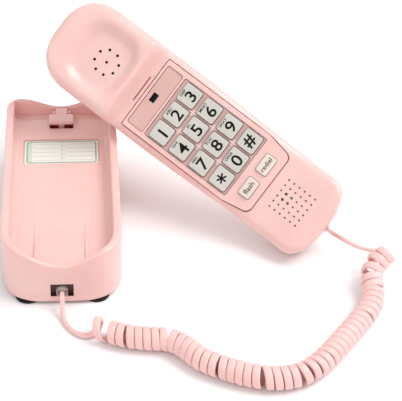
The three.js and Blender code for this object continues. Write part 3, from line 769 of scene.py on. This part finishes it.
def cutBase(shell):
    # the pocket behind the deck, the card's recess, the jacks, the hook's gap and the ringer's slot
    b = baseSpec
    deckRear = b["rear"] - b["rearLip"] - 8.6
    floor = deckLine(b["rear"] - b["rearLip"]) - 2.2
    pocket = roundedBlock("pocketTool", (-33.1, deckRear, floor), (33.1, 76.7, 70), 0.8, 2)
    carve(shell, paint(pocket, pinkPlastic))
    card = roundedBlock("cardTool", (-26.6, -12.5, -1.5), (26.6, 12.5, 12), 2, 4)
    card.matrix_world = onDeck(cardSpec["y"])
    carve(shell, paint(card, pinkPlastic))
    for name, low, high, skin in (
            ("jackTool", (-7.5, -82, 7.0), (7.5, -73, 17.2), jackPlastic),
            ("lineTool", (-21.2, 74, 8.2), (-10.8, 82, 15.4), darkPlastic),
            ("hookTool", (-8.4, 59.0, 20), (8.4, 66.7, 80), gapShade),
            ("ringerTool", (-44, 14, 13), (-33, 26, 17), boreShade)):
        carve(shell, paint(roundedBlock(name, low, high, 0.5, 2), skin))
    # two low ribs guide the mouth end of the handset
    for side in (-1, 1):
        rib = block("rib", (side * 16.6 - 1.2, -68, -2), (side * 16.6 + 1.2, -36, 1.5))
        edit(rib)
        pick("VERT", lambda v: v.co.z > 0 and v.co.y > -0.05)
        raiseBy(-1.3)
        pick("EDGE", lambda e: all(v.co.z > 0 for v in e.verts))
        bevel(0.55, 3)
        rest()
        rib.matrix_world = onDeck(0)
        carve(shell, paint(rib, pinkPlastic), "UNION")
    for side in (-1, 1):
        ear = roundedBlock("pinEar", (min(side * 4.5, side * 6.4), 71.7, floor - 0.6),
                           (max(side * 4.5, side * 6.4), 75.5, floor + 4.4), 0.4, 2)
        carve(shell, paint(ear, pinkPlastic), "UNION")


def rimInset(spot):
    # how far a point lies inside the outline of the base
    b = baseSpec
    x, y = spot.x / mm, spot.y / mm
    r = b["frontCorner"] if y < 0 else b["rearCorner"]
    dx = b["half"] - abs(x)
    dy = (y - b["front"]) if y < 0 else (b["rear"] - y)
    if dx < r and dy < r:
        return r - math.hypot(r - dx, r - dy)
    return min(dx, dy)


def insideCradle(x, y):
    b = baseSpec
    sideIn = b["rimWidth"] - 1.2
    near = b["frontLip"] - 0.9 if y < 0 else b["rearLip"] - 0.9
    return rimInset(Vector((x, y, 0)) * mm) > (sideIn if abs(x) > 30 and abs(y) < 66 else near)


baseShell = makeBase()
print("base shell raised:", len(baseShell.data.vertices), "points")
level(baseShell)
settle(baseShell, basePlace, "base", "shell", "base_shell")

# handset shell: its own x to the right, y toward the ear, z out of its face
handsetSpec = {"length": 228, "earHalf": 32.6, "mouthHalf": 30.2, "plateau": 14, "back": 25, "mouthRise": 6,
               "split": -7, "wall": 2.2, "slopeFrom": 60.4, "slopeTo": 71.2, "topRound": 5.2,
               "backRound": 10, "earCentre": 41.5, "dishDepth": 4.7, "dishHalf": 25.5, "dishEar": 28,
               "dishNeck": 19.5, "grille": 199.5, "pitch": 4.4}
keySpec = {"size": 13.6, "across": 15.75, "along": 17.15, "firstRow": 100.1, "top": 2.4, "under": -2.3,
           "plateHalf": 23.9, "plateFrom": 90.2, "plateTo": 160.45, "softRow": 170.1, "softAcross": 9.75,
           "softSize": (13.8, 8.8)}


def handsetHalf(s):
    h = handsetSpec
    body = mix(h["earHalf"], h["mouthHalf"], ease((s - 90) / 110))
    ear = (1 - ((30 - s) / 30) ** 2.5) ** 0.4 if s < 30 else 1
    t = (s - (h["length"] - 15)) / 15
    return body * ear * ((1 - t ** 2.3) ** (1 / 2.3) if t > 0 else 1)


def endRound(s):
    near, far = min(1, s / 7), min(1, (handsetSpec["length"] - s) / 6)
    return math.sqrt(1 - (1 - near) ** 2) * math.sqrt(1 - (1 - far) ** 2)


def handsetTop(s):
    h = handsetSpec
    return (h["plateau"] * (1 - ease((s - h["slopeFrom"]) / (h["slopeTo"] - h["slopeFrom"])))
            + h["mouthRise"] * ease((s - 182) / (h["length"] - 182)) - 5 * (1 - endRound(s)))


def handsetBack(s):
    return -(handsetSpec["back"] - 8 * (1 - ease(s / 45)) - 5 * ease((s - 150) / 70)) + 5 * (1 - endRound(s))


def handsetSolid():
    # one section on its edge, pulled along the handset station by station
    h = handsetSpec
    stations = [0.35, 0.8, 1.5, 2.5, 3.8, 5.2, 7, 9, 11.5, 14]
    stations += [14 + 2 * i for i in range(1, 23)]
    stations += [60 + 0.9 * i for i in range(14)]
    stations += [75, 82, 92, 105, 120, 135, 150, 165, 178, 184, 190, 196, 202, 207, 211, 214]
    stations += [216.5, 218.8, 220.8, 222.5, 224, 225.3, 226.3, 227, 227.5]
    obj = startPlane("handsetBody", (0.05, 1, 0.03), turn=math.pi / 2)
    pick("VERT", lambda v: v.co.z > 0)
    bevel(h["topRound"], 5, "VERTICES")
    pick("VERT", lambda v: v.co.z < -0.0149)
    bevel(h["backRound"], 6, "VERTICES")
    pick("EDGE", lambda e: abs(along(e).x) > 0.99 and middle(e).z > 0.01)
    bpy.ops.mesh.subdivide(number_cuts=19)
    pick("EDGE", lambda e: abs(along(e).x) > 0.99 and middle(e).z < -0.01)
    bpy.ops.mesh.subdivide(number_cuts=5)
    pick("EDGE", lambda e: abs(along(e).z) > 0.99)
    bpy.ops.mesh.subdivide(number_cuts=2)
    pickAll()
    place = 0.0
    for s in stations:
        extrude(0, (place - s) * mm, 0)
        place = s
        shape = bmesh.from_edit_mesh(obj.data)
        ring = [v for v in shape.verts if v.select]
        half, top, back = handsetHalf(s) * mm, handsetTop(s) * mm, handsetBack(s) * mm
        wide = max(abs(v.co.x) for v in ring)
        low, high = min(v.co.z for v in ring), max(v.co.z for v in ring)
        bpy.ops.transform.resize(value=(half / wide, 1, (top - back) / (high - low)),
                                 center_override=(0, -s * mm, low))
        bpy.ops.transform.translate(value=(0, 0, back - low))
    rest()
    return obj


def handsetShells():
    h = handsetSpec
    whole = handsetSolid()
    print("handset drawn:", len(whole.data.vertices), "points")
    edit(whole)
    # the first section is only the start of the pull
    pick("VERT", lambda v: v.co.y > -0.0003)
    bpy.ops.mesh.delete(type="VERT")
    for y in (0.35, 227.5):
        pick("EDGE", lambda e: all(abs(v.co.y + y * mm) < 1e-6 for v in e.verts))
        bpy.ops.mesh.edge_face_add()
    pickAll()
    bpy.ops.mesh.normals_make_consistent(inside=False)
    rest()
    # the ear dish: a rounded square that sinks softly into the plateau
    for v in whole.data.vertices:
        x, s = v.co.x / mm, -v.co.y / mm
        if v.co.z > 0.0125 and s < 62:
            reach = h["dishEar"] if s < h["earCentre"] else h["dishNeck"]
            away = (abs(x / h["dishHalf"]) ** 3 + abs((s - h["earCentre"]) / reach) ** 3) ** (1 / 3)
            v.co.z -= h["dishDepth"] * ease((1 - away) / 0.34) * mm
    rest()
    back = copyOf(whole, "handsetBackShell")
    for half, split, upper in ((whole, h["split"], True), (back, h["split"] - 0.3, False)):
        edit(half)
        pickAll()
        bpy.ops.mesh.bisect(plane_co=(0, 0, split * mm), plane_no=(0, 0, 1), clear_inner=upper,
                            clear_outer=not upper)
        rest()
        modify(half, "SOLIDIFY", thickness=h["wall"] * mm, offset=-1)
    whole.name = "handsetFace"
    return whole, back


def padOutline(name, inset, low, high, top=0):
    # the raised pad: straight sides that draw in past the digits
    obj = block(name, (-27.3 + inset, -179.8 + inset, low), (27.3 - inset, -73.5 - inset, high))
    edit(obj)
    pickAll()
    bpy.ops.mesh.bisect(plane_co=(0, -159.5 * mm, 0), plane_no=(0, 1, 0))
    pick("VERT", lambda v: v.co.y < -0.17)
    bpy.ops.transform.resize(value=((23.5 - inset) / (27.3 - inset), 1, 1))
    pick("EDGE", lambda e: abs(along(e).z) > 0.9 and middle(e).y < -0.17)
    bevel(4, 5)
    pick("EDGE", lambda e: abs(along(e).z) > 0.9 and middle(e).y > -0.08)
    bevel(1.2, 3)
    if top:
        pick("EDGE", lambda e: atHeight(e, high * mm) and e.is_manifold and e.calc_face_angle(0) > 1)
        bevel(top, 3)
    rest()
    return obj


def makeHandset():
    h, k = handsetSpec, keySpec
    face, back = handsetShells()
    paint(face, pinkPlastic)
    paint(back, pinkPlastic)
    carve(face, paint(padOutline("padTool", 0, -1.9, 1.0, 0.45), pinkPlastic), "UNION")
    # a fine groove runs round the pad
    ring = padOutline("grooveTool", -0.6, -0.6, 0.9)
    carve(ring, padOutline("grooveCore", 0.0, -2, 4))
    carve(face, paint(ring, grooveShade))
    half = k["plateHalf"]
    cuts = [roundedBlock("a", (-half, -k["plateTo"], -1.4), (half, -k["plateFrom"], 9), 1.5, 4),
            roundedBlock("b", (-half, -88.8, -1.4), (half, -75.4, 9), 1.5, 4)]
    carve(face, paint(join(cuts, "recessTool"), pinkPlastic))
    cuts = [roundedBlock("a", (0.9 - half, -k["plateTo"] + 1.2, -6), (half - 0.9, -k["plateFrom"] - 1.2, 0),
                         1.2, 3),
            roundedBlock("b", (-6, -85.25, -8), (6, -76.35, 0), 0.6, 2)]
    w, l = k["softSize"]
    wells = []
    for side in (-1, 1):
        x, y = side * k["softAcross"], -k["softRow"]
        wells.append(roundedBlock("c", (x - w / 2 - 0.3, y - l / 2 - 0.3, -8),
                                  (x + w / 2 + 0.3, y + l / 2 + 0.3, 9), 1.7, 4))
    carve(face, paint(join(cuts, "openingTool"), boreShade))
    carve(face, paint(join(wells, "softWell"), softGapShade))
    # sound holes: a ring of eight and a middle one at the ear, four through the dimples at the mouth
    holes = [peg("hole", 1.0, 6, 20, 0, -h["earCentre"], 14)]
    for i in range(8):
        a = math.radians(22 + 45 * i)
        holes.append(peg("hole", 1.0, 6, 20, 8.7 * math.cos(a), -h["earCentre"] + 8.7 * math.sin(a), 14))
    dimples = []
    for i in range(6):
        for j in range(6):
            x, y = (i - 2.5) * h["pitch"], -h["grille"] + (j - 2.5) * h["pitch"]
            through = i in (2, 3) and j in (3, 4)
            top = handsetTop(-y)
            if through:
                holes.append(peg("hole", 1.05, -6, 9, x, y, 14))
            else:
                dimples.append(peg("dimple", 0.72, top - 0.5, top + 1.5, x, y, 10))
    slit = block("slit", (-10, -70.7, -0.2), (10, -69.9, 3.5))
    carve(face, paint(join(holes, "holeTool"), boreShade))
    carve(face, paint(join(dimples, "dimpleTool"), dimpleShade))
    carve(face, paint(slit, grooveShade))
    for obj in (face, back):
        gate = roundedBlock("gate", (-4.7, -240, -15.4), (4.7, -219, -7.0 if obj is face else -6.0), 0.4, 2)
        carve(obj, paint(gate, pinkPlastic))
    screws = [peg("well", 2.4, -27, -15, 0, y, 20) for y in (-68.5, -186)]
    carve(back, paint(join(screws, "wellTool"), pinkPlastic))
    for obj, node in ((face, "handset_front"), (back, "handset_back")):
        settle(level(obj, 36), handsetPlace, "handset", "shell", node)


makeHandset()
print("handset shells carved")


# keys: one cap of each size, copied to its places, with its print raised a hair
def keyCap(name, width, length):
    k = keySpec
    cap = block(name, (-width / 2, -length / 2, k["under"]), (width / 2, length / 2, k["top"]))
    edit(cap)
    pick("EDGE", lambda e: abs(along(e).z) > 0.9)
    bevel(1.5, 5)
    top = k["top"] * mm
    pick("FACE", lambda f: f.normal.z > 0.9)
    bpy.ops.mesh.inset(thickness=0.5 * mm, depth=0)
    pick("EDGE", lambda e: atHeight(e, top) and e.calc_face_angle(0) > 1)
    bevel(0.42, 4)
    pick("FACE", lambda f: f.normal.z > 0.99)
    raiseBy(0.12)
    rest()
    level(cap, 50)
    return cap


def keyPrint(text, x, y, height, ink, heavy=0.0, wide=1.0):
    rest()
    bpy.ops.object.text_add(location=(0, 0, 0))
    word = bpy.context.object
    word.data.body = text
    word.data.size = 0.01
    word.data.offset = heavy * mm
    word.data.resolution_u = 4
    word.data.extrude = 0.00003
    bpy.ops.object.convert(target="MESH")
    word = bpy.context.object
    xs, ys = [v.co.x for v in word.data.vertices], [v.co.y for v in word.data.vertices]
    scale = height * mm / (max(ys) - min(ys))
    centre = Vector(((min(xs) + max(xs)) / 2, (min(ys) + max(ys)) / 2, 0))
    word.matrix_world = (shift(x, y, keySpec["top"] + 0.125) @ Matrix.Diagonal((scale * wide, scale, 1, 1))
                         @ Matrix.Translation(-centre))
    fixPlace()
    return paint(word, ink)


def starBars(x, y):
    # three bars crossed
    bars = []
    for i in range(3):
        bar = block("bar", (-3.6, -0.6, -0.03), (3.6, 0.6, 0.03))
        bar.matrix_world = (shift(x, y, keySpec["top"] + 0.125 + 0.002 * i)
                            @ Matrix.Rotation(math.radians(30 + 60 * i), 4, "Z"))
        activate(bar)
        fixPlace()
        bars.append(paint(bar, blackInk))
    return bars


def makeKeys():
    k = keySpec
    letters = dict(zip("234567890", ("ABC", "DEF", "GHI", "JKL", "MNO", "PRS", "TUV", "WXY", "OPER")))
    names = ["1", "2", "3", "4", "5", "6", "7", "8", "9", "star", "0", "hash"]
    digitCap, softCap = keyCap("digitCap", k["size"], k["size"]), keyCap("softCap", *k["softSize"])
    paint(digitCap, keyPlastic)
    paint(softCap, softKeyPlastic)
    places = {n: ((i % 3 - 1) * k["across"], -k["firstRow"] - (i // 3) * k["along"])
              for i, n in enumerate(names)}
    places["flash"] = (-k["softAcross"], -k["softRow"])
    places["redial"] = (k["softAcross"], -k["softRow"])
    for name, (x, y) in places.items():
        cap = copyOf(softCap if name in ("flash", "redial") else digitCap, f"keyCap_{name}")
        cap.matrix_world = shift(x, y, 0)
        if name in ("flash", "redial"):
            marks = [keyPrint(name, x, y, 3.5 if name == "flash" else 3.2, greyInk, 0.12, 1.1)]
        elif name == "star":
            marks = starBars(x, y)
        elif name == "hash":
            marks = [keyPrint("#", x, y, 8.6, blackInk, 0.2, 1.1)]
        else:
            marks = [keyPrint(name, x + 0.2, y - 0.9, 8.4, blackInk, 0.16, 1.14)]
        if name in letters:
            marks.append(keyPrint(letters[name], x - 1.0, y + 5.0, 2.0, blackInk, 0.18, 1.15))
        mark = join(marks, f"keyPrint_{name}")
        settle(cap, handsetPlace, f"key_{name}", "key", f"key_{name}")
        settle(mark, handsetPlace, f"key_{name}", None)
    for cap in (digitCap, softCap):
        bpy.data.objects.remove(cap)


makeKeys()
print("keys set")


# keypad plate and hook panel: thin mouldings let into the face
def makePlates():
    k = keySpec
    half = k["plateHalf"]
    plate = roundedBlock("keypadPlate", (-half + 0.3, -k["plateTo"] + 0.3, -1.1),
                         (half - 0.3, -k["plateFrom"] - 0.3, 0.5), 1.3, 4, 0.3, 3)
    # the plate's darker pink is painted shade between the keys
    paint(plate, platePlastic)
    holes, ridges = [], []
    reach = k["size"] / 2 + 0.35
    for row in range(4):
        for column in range(3):
            x, y = (column - 1) * k["across"], -k["firstRow"] - row * k["along"]
            holes.append(roundedBlock("hole", (x - reach, y - reach, -3), (x + reach, y + reach, 3), 1.7, 4))
            if row < 3 and column < 2:
                # a small cross stands where four keys meet
                cx, cy = x + k["across"] / 2, y - k["along"] / 2
                for w, l, high in ((0.5, 3.4, 0.78), (2.6, 0.7, 0.74)):
                    ridges.append(roundedBlock("ridge", (cx - w, cy - l, 0.2), (cx + w, cy + l, high),
                                               0.4, 2, 0.2, 2))
    carve(plate, join(holes, "keyHole"))
    carve(plate, paint(join(ridges, "keyRidges"), ridgePlastic), "UNION")
    level(plate)
    settle(plate, handsetPlace, "handset", "panel", "keypad_plate")
    panel = roundedBlock("hookPanel", (-half + 0.3, -88.5, -1.1), (half - 0.3, -75.7, 0.35), 1.2, 4, 0.3, 3)
    paint(panel, panelPlastic)
    carve(panel, paint(roundedBlock("slot", (-3.4, -82.85, -4), (3.4, -78.75, 4), 0.35, 2), boreShade))
    level(panel)
    settle(panel, handsetPlace, "handset", "panel", "hook_panel")


makePlates()
print("plates set")


# hook lever: a T whose stem swings on the pin behind the deck
leverSpec = {"barHalf": 8.7, "barFront": 59.6, "barRear": 69.2, "top": 49.0, "thick": 2.6, "stemHalf": 4.2,
             "stemRear": 76.4, "pinY": 73.6, "pinZ": 45.7, "legY": 63.2, "legFoot": 29}


def pinBar(name, radius, half, sides):
    # a round bar along the hook's pin
    bar = peg(name, radius, -half, half, 0, 0, sides)
    bar.matrix_world = shift(0, leverSpec["pinY"], leverSpec["pinZ"]) @ Matrix.Rotation(math.pi / 2, 4, "Y")
    return paint(bar, pinkPlastic)


def makeLever():
    v = leverSpec
    bottom = v["top"] - v["thick"]
    lever = roundedBlock("hookLever", (-v["barHalf"], v["barFront"], bottom),
                         (v["barHalf"], v["barRear"], v["top"]), 1.4, 5)
    stem = roundedBlock("stem", (-v["stemHalf"], v["barRear"] - 2, bottom),
                        (v["stemHalf"], v["stemRear"], v["top"]), 0.5, 2)
    paint(lever, pinkPlastic)
    carve(lever, paint(stem, pinkPlastic), "UNION")
    edit(lever)
    top = v["top"] * mm
    pick("EDGE", lambda e: atHeight(e, top) and e.is_manifold and e.calc_face_angle(0) > 1)
    bevel(0.55, 4)
    rest()
    carve(lever, pinBar("barrel", 1.9, v["stemHalf"], 24), "UNION")
    leg = roundedBlock("leg", (-2, v["legY"] - 1.5, v["legFoot"]), (2, v["legY"] + 1.5, v["top"] - 1), 0.4, 2)
    carve(lever, paint(leg, pinkPlastic), "UNION")
    carve(lever, pinBar("bore", 1.0, 8, 20))
    level(lever)
    settle(lever, basePlace, "hook_lever", "shell", "hook_lever")


makeLever()
print("hook lever set")


# number card under its window, and the rubber feet
def cardPaper():
    f = Finish("cardPaper", Specular_IOR_Level=0.3)
    fibre = f.grain(1800, 4, 0.7)
    centre = (Vector(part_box("index_card")[0]) + Vector(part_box("index_card")[1])) / 2
    x, y = (f.axis(0) - centre.x) * 1000, (f.axis(1) - centre.y) * 1000
    # distance to the rounded frame, in millimetres
    corner = cardSpec["corner"]
    dx, dy = abs(x) - (cardSpec["frame"][0] - corner), abs(y) - (cardSpec["frame"][1] - corner)
    out = dx.most(0).maths("POWER", 2) + dy.most(0).maths("POWER", 2)
    edge = out.maths("SQRT") + dx.most(dy).least(0) - corner
    line = 1 - abs(edge).soft(0.36, 0.56)
    inner = 1 - edge.soft(-0.1, 0.1)
    paper = f.blend(fibre, tone(240, 240, 233), tone(231, 231, 224))
    column = inner * (1 - x.soft(-20.6, -20.2))
    row = cardSpec["row"]
    rows = 1 - abs((y / row + 0.5).maths("FRACT") - 0.5).soft(0.035, 0.06)
    ruled = inner * rows * (x > -19.6) * (x < 22.4) * (1 - (x > -0.8) * (x < 2.6))
    divide = inner * (1 - abs(x - 0.2).soft(0.1, 0.2)) * (abs(y) < 9)
    dots = inner * (1 - (abs(x - 1.7).maths("POWER", 2)
                         + abs(((y / row).maths("FRACT") - 0.5) * row).maths("POWER", 2)).soft(0.2, 0.4))
    colour = f.blend(column, paper, tone(196, 222, 203))
    colour = f.blend(ruled * 0.75, colour, tone(160, 176, 168))
    colour = f.blend((divide + dots).least(1) * 0.8, colour, tone(120, 140, 130))
    colour = f.blend(line * 0.95, colour, tone(98, 156, 108))
    return f.feed(Base_Color=colour, Roughness=0.6 + 0.15 * fibre, Normal=f.bump(fibre, 0.00002, 0.4))


def makeCard():
    for name, size, low, high, finish, slot, node in (
            ("numberCard", cardSpec["card"], -1.2, -0.8, cardPaper(), "card", "index_card"),
            ("cardWindow", cardSpec["window"], -0.6, -0.1, windowClear, "clear", "card_window")):
        sheet = roundedBlock(name, (-size[0], -size[1], low), (size[0], size[1], high), 1.6, 5,
                             0.12 if low < -1 else 0.2, 2)
        sheet.matrix_world = onDeck(cardSpec["y"])
        level(paint(sheet, finish))
        settle(sheet, basePlace, "base", slot, node)


footSpec = {"radius": 8.6, "side": 22.5, "front": -69.5, "rear": 66}


def makeFeet():
    # one flattened rubber disc with a shallow dish under it, copied to the four corners
    foot = peg("foot", footSpec["radius"], 0, baseSpec["foot"], 0, 0, 48)
    edit(foot)
    pick("EDGE", lambda e: all(v.co.z < 1e-6 for v in e.verts))
    bevel(0.7, 4)
    pick("FACE", lambda f: f.normal.z < -0.99)
    bpy.ops.mesh.inset(thickness=2.2 * mm, depth=0)
    bpy.ops.mesh.inset(thickness=0.5 * mm, depth=-0.35 * mm)
    rest()
    level(paint(foot, rubber))
    side, front, rear = footSpec["side"], footSpec["front"], footSpec["rear"]
    for name, x, y in (("front_left", -side, front), ("front_right", side, front),
                       ("rear_left", -side, rear), ("rear_right", side, rear)):
        twin = copyOf(foot, f"rubberFoot_{name}")
        twin.matrix_world = shift(x, y, 0)
        settle(twin, basePlace, "base", "foot", f"foot_{name}")
    bpy.data.objects.remove(foot)


makeCard()
makeFeet()
print("card and feet set")


# cord plugs: a clear body with its latch and four gilt blades; the cord enters at y = 0
plugSpec = {"half": 3.82, "length": 11.7, "high": 3.0, "latch": 1.6}


def makePlug(name, place, body, node):
    g = plugSpec
    high = g["high"]
    plug = roundedBlock(name, (-g["half"], 0, -high), (g["half"], g["length"], high), 0.35, 2, 0.35, 2)
    mouth = roundedBlock("mouth", (-2.7, -1, -1.5), (2.7, 4.2, 1.5), 0.5, 2)
    carve(paint(plug, plugClear), paint(mouth, plugClear))
    side = g["latch"]
    latch = roundedBlock("latch", (-side, 0.4, high - 0.1), (side, 9.5, high + 0.8), 0.4, 2, 0.25, 2)
    edit(latch)
    pick("VERT", lambda v: v.co.y > 0.007)
    raiseBy(-0.35)
    rest()
    carve(plug, paint(latch, plugClear), "UNION")
    level(plug)
    blades = []
    for i in range(4):
        x = (i - 1.5) * 1.02
        blade = roundedBlock("blade", (x - 0.16, 8.3, 0.25 - high), (x + 0.16, 11.3, -0.6), 0.1, 2)
        blades.append(paint(blade, gilt))
    blades = level(join(blades, f"{name}Blades"), 30)
    settle(plug, place, body, "clear", node)
    settle(blades, place, body, None)


makePlug("basePlug", basePlace @ shift(0, -80.2, 11.3), "base", "plug_base")
makePlug("handsetPlug", handsetPlace @ shift(0, -229, -11.5), "handset", "plug_handset")
print("plugs set")

makeCord()


# finishes on the parts that keep their own shape
finishes = (("base_plate", platePlastic),
            ("base_screw_1 base_screw_2 base_screw_3 ballast_weight hook_pin handset_screw_1 handset_screw_2 "
             "microphone", steel),
            ("base_board keypad_board", board), ("front_jack", jackPlastic), ("key_mat", mat),
            ("bell_sounder hook_switch line_jack ringer_switch slot_liner receiver_capsule handset_jack",
             darkPlastic))
for nodes, material in finishes:
    for node in nodes.split():
        for slot in bpy.data.objects[node].material_slots:
            slot.material = material
print("finishes given")
